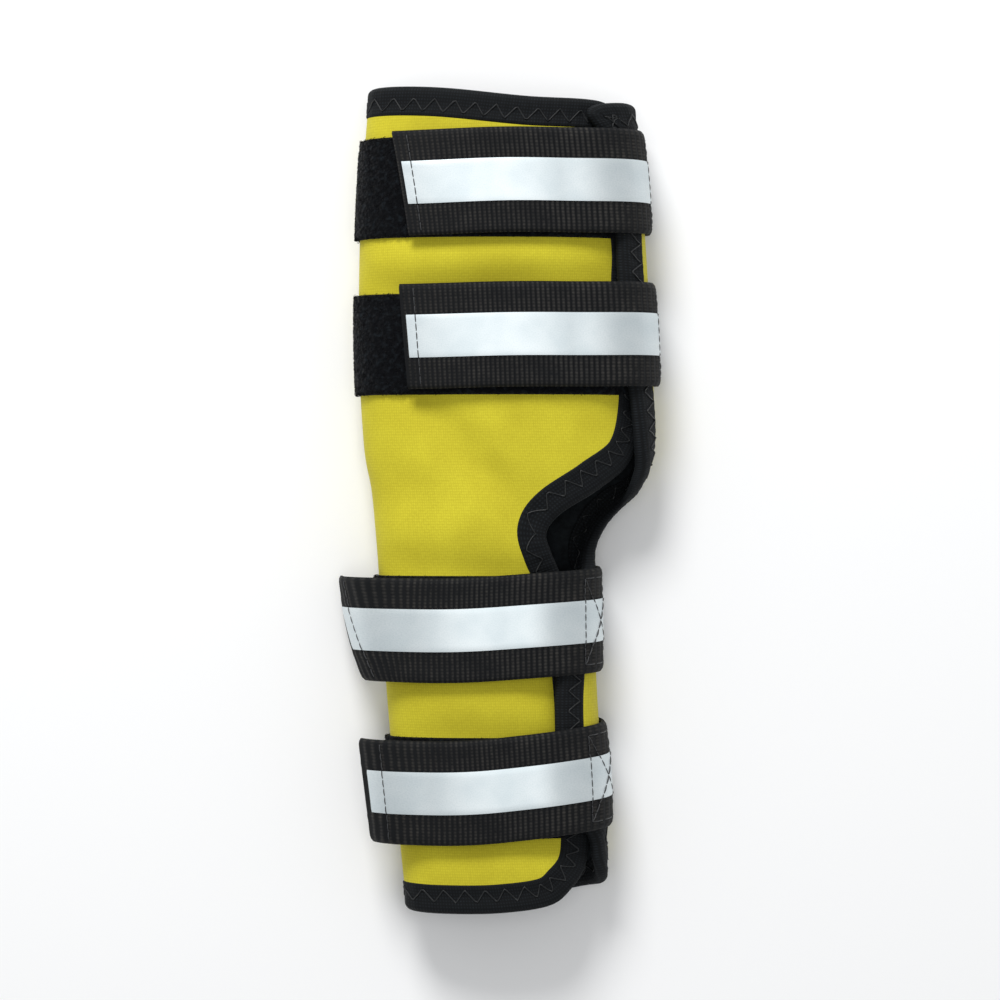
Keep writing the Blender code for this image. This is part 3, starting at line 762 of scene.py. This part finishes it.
shells, linings = makeClothPanels()
for part in stretches:
    outerNode, liningNode, bindingNodes = nodesOf[part]
    bound = makeBinding(part)
    for piece, nodes, slot in ((shells[part], (outerNode,), "yellow_neoprene"),
                               (linings[part], (liningNode,), "black_lining"),
                               (bound, bindingNodes, "edge_binding")):
        followCloth(piece, part)
        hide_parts(*nodes)
    declareCloth(part)
    for face in ("Outer", "Inner"):
        stitch = makeZigzag(part, face)
        followCloth(stitch, part)
print("cloth, binding and zigzag stitching ready")

webbing = {"thickness": 1.6, "width": 30.0, "seat": 0.62, "ribPitch": 1.3, "ribHeight": 0.15,
           "onFlap": 7.92, "onPatch": 6.75, "joinPast": 6.5, "leaveShare": 0.72,
           "bend": (4.0, -5.0), "side": 2.6}  # bend is where the fold starts and ends beside its line; nothing in the script reads it
reflector = {"width": 12.2, "thickness": 0.36, "endGap": 1.2}
hookTape = {"width": 26.4, "thickness": 1.25, "start": 9.0, "endGap": 1.2, "pitch": 1.7,
            "base": 0.55, "baseDrop": 0.62, "stemRadius": 0.13, "rowsReach": 11.8}
straps = {  # y at the fold and at the free end, x of the end, past of the fold over the flap's
    # edge, how far the end stands off, how much further its upper corner runs, and the sewn box;
    # curl is how much more the upper corner stands off than the lower
    "forearmStrapUpper": {"node": "forearm_strap_1", "foldY": 91.8, "endY": 90.3, "endX": -25.5,
                          "hinge": 10.4, "standOff": 0.0, "slant": 1.6, "box": (-8.5, 1.8), "curl": 0.0,
                          "flap": "forearm_flap", "fold": (33.3, 91.8, 30.2), "bow": 0.6},
    "forearmStrapLower": {"node": "forearm_strap_2", "foldY": 47.8, "endY": 46.5, "endX": -25.0,
                          "hinge": 10.2, "standOff": 0.0, "slant": 1.0, "box": (-8.5, 1.8), "curl": 0.0,
                          "flap": "forearm_flap", "fold": (36.3, 47.8, 30.1), "bow": 0.4},
    "handStrapUpper": {"node": "hand_strap_1", "foldY": -34.6, "endY": -37.4, "endX": -42.0,
                       "hinge": 11.6, "standOff": 7.5, "slant": 7.0, "box": (-1.2, 6.0), "curl": 1.1,
                       "flap": "hand_flap", "fold": (16.9, -34.6, 30.9), "bow": -0.4},
    "handStrapLower": {"node": "hand_strap_2", "foldY": -79.2, "endY": -84.2, "endX": -31.5,
                       "hinge": 12.6, "standOff": 5.0, "slant": 1.4, "box": (-1.2, 6.0), "curl": 0.2,
                       "flap": "hand_flap", "fold": (17.3, -79.2, 31.1), "bow": -0.3},
}


def freeEndOf(strap):  # distance past the wall at which the strap's free end lies
    y = strap["endY"]
    tries = np.linspace(0.2, float(frontLength(y)), 400)
    edge = max(strap["endX"], float(np.interp(y, stationY, sections[:, 0, 0])) + 3)
    along = np.interp(edge, place(tries, y, 0.0)[:, 0], tries)
    return float(frontLength(y) - along + strap["standOff"])


def onStrap(strap, past, across):  # along, y and the height of the webbing's under face
    end = freeEndOf(strap)
    share = np.clip((past - strap["hinge"]) / (end - strap["hinge"]), 0, 1)
    slide = smoothStep(past, end - 16, end) * strap["slant"] * (across / webbing["width"] + 0.1)
    past = past + slide
    fromFold = 1 - np.clip(past / end, -0.25, 1)
    y = strap["endY"] + (strap["foldY"] - strap["endY"]) * fromFold ** 2.2 + across
    y = y + strap["bow"] * np.sin(np.pi * share) ** 2
    along = strapSide(past, y)
    root = wallLift(along, y) + cloth["thickness"] + webbing["seat"]
    drop = smoothStep(past, strap["hinge"] + 0.5, strap["hinge"] + 13)
    height = root + (webbing["onPatch"] - webbing["onFlap"]) * drop
    leave = np.clip((share - webbing["leaveShare"]) / (1 - webbing["leaveShare"]), 0, 1)
    tilt = 0.8 + strap["curl"] * across / webbing["width"]
    height = height + strap["standOff"] * leave * leave * tilt
    height = height - 0.25 * (across / (webbing["width"] / 2)) ** 4
    return along, y, height


def acrossLine(width, count):  # closer together beside the two edges
    turn = np.linspace(-np.pi / 2, np.pi / 2, count)
    return np.sin(turn) * 0.5 * width * 0.35 + np.linspace(-0.5, 0.5, count) * width * 0.65


def strapGrid(start, end, width, pitch, rows):
    columns = int((end - start) / pitch) + 1
    past = np.linspace(start, end, columns)[None, :]
    across = acrossLine(width, rows)[:, None]
    past, across = np.broadcast_arrays(past, across)
    return past.copy(), across.copy()


def roundEdge(across, width, radius=0.7):
    inside = np.clip((width / 2 - np.abs(across)) / radius, 0, 1)
    return 0.35 + 0.65 * np.sqrt(1 - (1 - inside) ** 2)


def layBand(name, strap, finish, start, end, width, lift, thickness, rib=0.0, pitch=0.22, rows=26):
    past, across = strapGrid(start, end, width, pitch, rows)
    along, y, height = onStrap(strap, past, across)
    selvage = smoothStep(width / 2 - np.abs(across), 0.9, 1.5)
    ribs = rib * np.cos(2 * np.pi * past / webbing["ribPitch"]) * selvage
    yarn = rib * 0.35 * np.cos(2 * np.pi * across / webbingLook["yarnPitch"]) * selvage
    half = thickness / 2 * roundEdge(across, width)
    middle = height + lift + thickness / 2
    piece = closedSlab(name, finish, along, y, middle - half + ribs * 0.6, middle + half + ribs + yarn)
    setPlaces(piece.data, np.tile(np.column_stack([past.ravel(), across.ravel()]), (2, 1)))
    return piece


def stitchRun(strap, corners, lift, length=2.5, gap=0.35):  # short stitches along straight runs
    paths, ups = [], []
    for (pastA, acrossA), (pastB, acrossB) in zip(corners, corners[1:]):
        count = max(1, round(np.hypot(pastB - pastA, acrossB - acrossA) / length))
        for i in range(count):
            share = np.linspace((i + gap / length / 2) / count, (i + 1 - gap / length / 2) / count, 7)
            past, across = pastA + (pastB - pastA) * share, acrossA + (acrossB - acrossA) * share
            along, y, height = onStrap(strap, past, across)
            onTape = np.abs(across) < reflector["width"] / 2
            bulge = 0.2 * np.sin(np.pi * np.linspace(0.02, 0.98, 7)) - 0.12
            top = height + webbing["thickness"] + np.where(onTape, reflector["thickness"], 0.06)
            spots, up = raised(along, y, top + lift + bulge)
            paths.append(spots)
            ups.append(up)
    return paths, ups


def makeHooks(name, strap, start, end):
    past, across = np.meshgrid(np.arange(start + 1.2, end - 1.0, hookTape["pitch"]),
                               np.arange(-hookTape["rowsReach"], hookTape["rowsReach"] + 0.2,
                                         hookTape["pitch"]))
    past, across = past.ravel(), across.ravel()
    past = past + draws.uniform(-0.12, 0.12, len(past))
    along, y, height = onStrap(strap, past, across)
    foot, up = raised(along, y, height - hookTape["thickness"] + 0.1)
    lean, _ = raised(along + 1.0, y, height - hookTape["thickness"] + 0.1)
    lean = lean - foot
    paths = []
    for base, out, side in zip(foot, up, lean):
        side = side / np.linalg.norm(side)
        paths.append(np.array([base, base - 0.45 * out, base - 0.7 * out + 0.15 * side,
                               base - 0.72 * out + 0.42 * side, base - 0.5 * out + 0.55 * side]))
    across = [np.cross(side / np.linalg.norm(side), out) for side, out in zip(lean, up)]
    shape = tubeAlong(paths, across, hookTape["stemRadius"], sides=4)
    return addMesh(name, "hooks", *shape, sharp=80)


def makeStrap(name, strap):
    node, flap = strap["node"], strap["flap"]  # the body has the strap's own name
    part = "Forearm" if flap == "forearm_flap" else "Hand"
    end, join, hinge = freeEndOf(strap), webbing["joinPast"], strap["hinge"]
    rootStart = min(strap["box"][0] - 2.5, -9.0)
    root = layBand(f"{name}Root", strap, "webbing", rootStart, join, webbing["width"], 0.0,
                   webbing["thickness"], rib=webbing["ribHeight"])
    band = layBand(f"{name}Band", strap, "webbing", join, end, webbing["width"], 0.0,
                   webbing["thickness"], rib=webbing["ribHeight"])
    top = webbing["thickness"] + 0.02
    rootTape = layBand(f"{name}TapeRoot", strap, "tape", rootStart + 0.6, join,
                       reflector["width"], top, reflector["thickness"], pitch=0.5, rows=12)
    bandTape = layBand(f"{name}Tape", strap, "tape", join, end - reflector["endGap"],
                       reflector["width"], top, reflector["thickness"], pitch=0.5, rows=12)
    hooks = layBand(f"{name}HookBase", strap, "hooks", hinge + hookTape["start"],
                    end - hookTape["endGap"], hookTape["width"],
                    -hookTape["baseDrop"], hookTape["base"], pitch=1.0, rows=14)
    stems = makeHooks(f"{name}Hooks", strap, hinge + hookTape["start"], end - hookTape["endGap"])
    (a, b), side = strap["box"], webbing["width"] / 2 - webbing["side"]
    box = stitchRun(strap, [(a, -side), (b, -side), (b, side), (a, side), (a, -side), (b, side)], 0)
    cross = stitchRun(strap, [(b, -side), (a, side)], 0.12)
    sewn = addMesh(f"{name}BoxStitch", "strapThread", *tubeAlong(box[0] + cross[0],
                   box[1] + cross[1], 0.17), sharp=80)
    last = end - reflector["endGap"] - 2.3
    tail = stitchRun(strap, [(last, -side - 1.4), (last, side + 1.4)], 0)
    tail = addMesh(f"{name}EndStitch", "strapThread", *tubeAlong(*tail, 0.17), sharp=80)
    for piece in (root, rootTape, sewn):
        followCloth(piece, part)
    for piece in (band, bandTape):
        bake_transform(piece)
    for piece in (hooks, stems, tail):
        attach(piece, node)
    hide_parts(f"{node}_sewn_end", f"{node}_fold")
    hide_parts(f"{node}_fold_reflector")
    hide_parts(f"{node}_free_end")
    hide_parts(f"{node}_reflector")
    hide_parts(f"{node}_hook_tape")


for name, strap in straps.items():
    makeStrap(name, strap)
print("straps ready:", len(straps))

patches = {  # y of the middle, reach behind the left fold and distance short of the wall
    "forearmLoopUpper": {"node": "forearm_loop_patch_1", "y": 89.5, "wrap": 4.0, "short": 7.5},
    "forearmLoopLower": {"node": "forearm_loop_patch_2", "y": 44.5, "wrap": 4.0, "short": 7.5},
    "handLoopUpper": {"node": "hand_loop_patch_1", "y": -36.5, "wrap": 9.0, "short": 9.5},
    "handLoopLower": {"node": "hand_loop_patch_2", "y": -83.0, "wrap": 9.0, "short": 9.5},
}
pile = {"width": 29.0, "backing": 0.6, "top": 1.3, "loops": 5200, "loopHeight": 0.75}


def patchRise(along, y):
    return clothRise(along, y) + cloth["thickness"]


def pileNoise(along, y):
    bumpy = np.zeros(along.shape)
    for _ in range(26):
        turn, pitch, start = draws.uniform(0, np.pi), draws.uniform(1.1, 4.5), draws.uniform(0, 6.3)
        bumpy += np.sin((along * np.cos(turn) + y * np.sin(turn)) * 2 * np.pi / pitch + start)
    return bumpy / 26


def makePatch(name, patch):
    rows, far = 60, float(frontLength(patch["y"])) - patch["short"]
    columns = int((far + patch["wrap"]) / 0.5)
    across = acrossLine(pile["width"], rows)
    along, y = np.meshgrid(np.linspace(-patch["wrap"], far, columns), patch["y"] + across)
    inset = np.minimum(np.minimum(along + patch["wrap"], far - along),
                       pile["width"] / 2 - np.abs(y - patch["y"]))
    edge = np.sqrt(np.clip(1 - (1 - np.clip(inset / 1.4, 0, 1)) ** 2, 0.03, 1))
    low = patchRise(along, y) + 0.03
    pressed = 1 - 0.85 * smoothStep(along, far - 5.5, far - 2.5)  # where the flap lies on the pile
    high = low + pile["backing"] * 0.4 + (pile["top"] + 0.55 * pileNoise(along, y)) * edge * pressed
    piece = closedSlab(name, "pile", along, y, low, high)
    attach(piece, "sleeve")
    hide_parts(patch["node"])
    spotAlong = draws.uniform(-patch["wrap"] + 0.1, far - 5.5, pile["loops"])
    spotAlong = np.where(draws.random(pile["loops"]) < 0.55, np.mod(spotAlong + patch["wrap"], 22)
                         - patch["wrap"], spotAlong)
    spotY = patch["y"] + draws.uniform(-0.5, 0.5, pile["loops"]) * (pile["width"] - 0.1)
    heading, size = draws.uniform(0, 2 * np.pi, pile["loops"]), draws.uniform(0.5, 1.0, pile["loops"])
    turn = np.linspace(0, np.pi, 5)
    reach = np.cos(turn)[None, :] * 0.5 * size[:, None]
    arcAlong = spotAlong[:, None] + reach * np.cos(heading)[:, None]
    arcY = spotY[:, None] + reach * np.sin(heading)[:, None]
    rise = np.sin(turn)[None, :] * pile["loopHeight"] * size[:, None]
    paths = place(arcAlong, arcY, patchRise(arcAlong, arcY) + 1.0 + rise)
    up = np.tile([0.31, 0.27, 0.91], (len(paths), 1))
    loops = addMesh(f"{name}Fuzz", "pile", *tubeAlong(paths, up, 0.07, sides=3), sharp=180)
    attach(loops, "sleeve")


for name, patch in patches.items():
    makePatch(name, patch)
print("loop patches ready:", len(patches))

label = {"long": 11.5, "deep": 3.4, "y": 58.0, "thickness": 0.25}


def makeLabel():  # a blank folded tab, sewn to the flap's lining along one edge
    past, across = np.meshgrid(np.linspace(0.5, 0.5 + label["deep"], 12),
                               np.linspace(-0.5, 0.5, 30) * label["long"])
    y = label["y"] + across
    curl = 0.05 * np.sin(across * 0.7) * smoothStep(past, 1.0, 4.0)
    height = cloth["lift"] - 0.36 + curl
    made = closedSlab("sizeLabel", "label", strapSide(past, y), y, height,
                      height + label["thickness"])
    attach(made, "forearm_flap")
    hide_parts("size_label")


makeLabel()

camera = {"lens": 120, "sensor": 36, "across": 0.286, "aimHeight": 0.030}  # across is the view's width
floorPlate = {"half": 1.6, "level": -0.0009, "colour": "#F6F6F6"}
softLight = {"room": "#F4F6F8", "strength": 0.5,
             "keySoftbox": ((-0.25, 1.0, 0.85), 0.5, 14.0),  # spot, size, power
             "overheadSoftbox": ((0.05, 0.0, 1.4), 0.7, 3.6)}


def areaLight(name, spot, size, power, target=(0, 0, 0)):
    lamp = bpy.data.lights.new(name, "AREA")
    lamp.shape, lamp.size, lamp.energy = "DISK", size, power
    made = bpy.data.objects.new(name, lamp)
    bpy.context.scene.collection.objects.link(made)
    made.location = spot
    aim = Vector(target) - Vector(spot)
    made.rotation_euler = aim.to_track_quat("-Z", "Y").to_euler()
    return made


def makeStage():
    mesh = bpy.data.meshes.new("paleFloor")
    half, level = floorPlate["half"], floorPlate["level"]
    mesh.from_pydata([(-half, -half, level), (half, -half, level), (half, half, level),
                      (-half, half, level)], [], [(0, 1, 2, 3)])
    floor = bpy.data.objects.new("paleFloor", mesh)
    bpy.context.scene.collection.objects.link(floor)
    made = bpy.data.materials.new("paintedFloor")
    made.use_nodes = True
    shader = made.node_tree.nodes["Principled BSDF"]
    shader.inputs["Base Color"].default_value = linear(floorPlate["colour"])
    shader.inputs["Roughness"].default_value = 0.9
    mesh.materials.append(made)
    world = bpy.data.worlds.new("softRoom")
    world.use_nodes = True
    world.node_tree.nodes["Background"].inputs["Color"].default_value = linear(softLight["room"])
    world.node_tree.nodes["Background"].inputs["Strength"].default_value = softLight["strength"]
    bpy.context.scene.world = world
    for name in ("keySoftbox", "overheadSoftbox"):
        areaLight(name, *softLight[name])
    bpy.context.scene.view_settings.view_transform = "Standard"


def makeCamera():
    lens = bpy.data.cameras.new("topCamera")
    lens.lens, lens.sensor_width = camera["lens"], camera["sensor"]
    made = bpy.data.objects.new("topCamera", lens)
    bpy.context.scene.collection.objects.link(made)
    middle = sum(np.array(corner) for corner in cadBox) / 2
    distance = camera["across"] * camera["lens"] / camera["sensor"]
    made.location = (middle[0], middle[1], camera["aimHeight"] + distance)
    lens.clip_start, lens.clip_end = 0.01, 10
    bpy.context.scene.camera = made


makeStage()
makeCamera()
print("stage and camera ready")
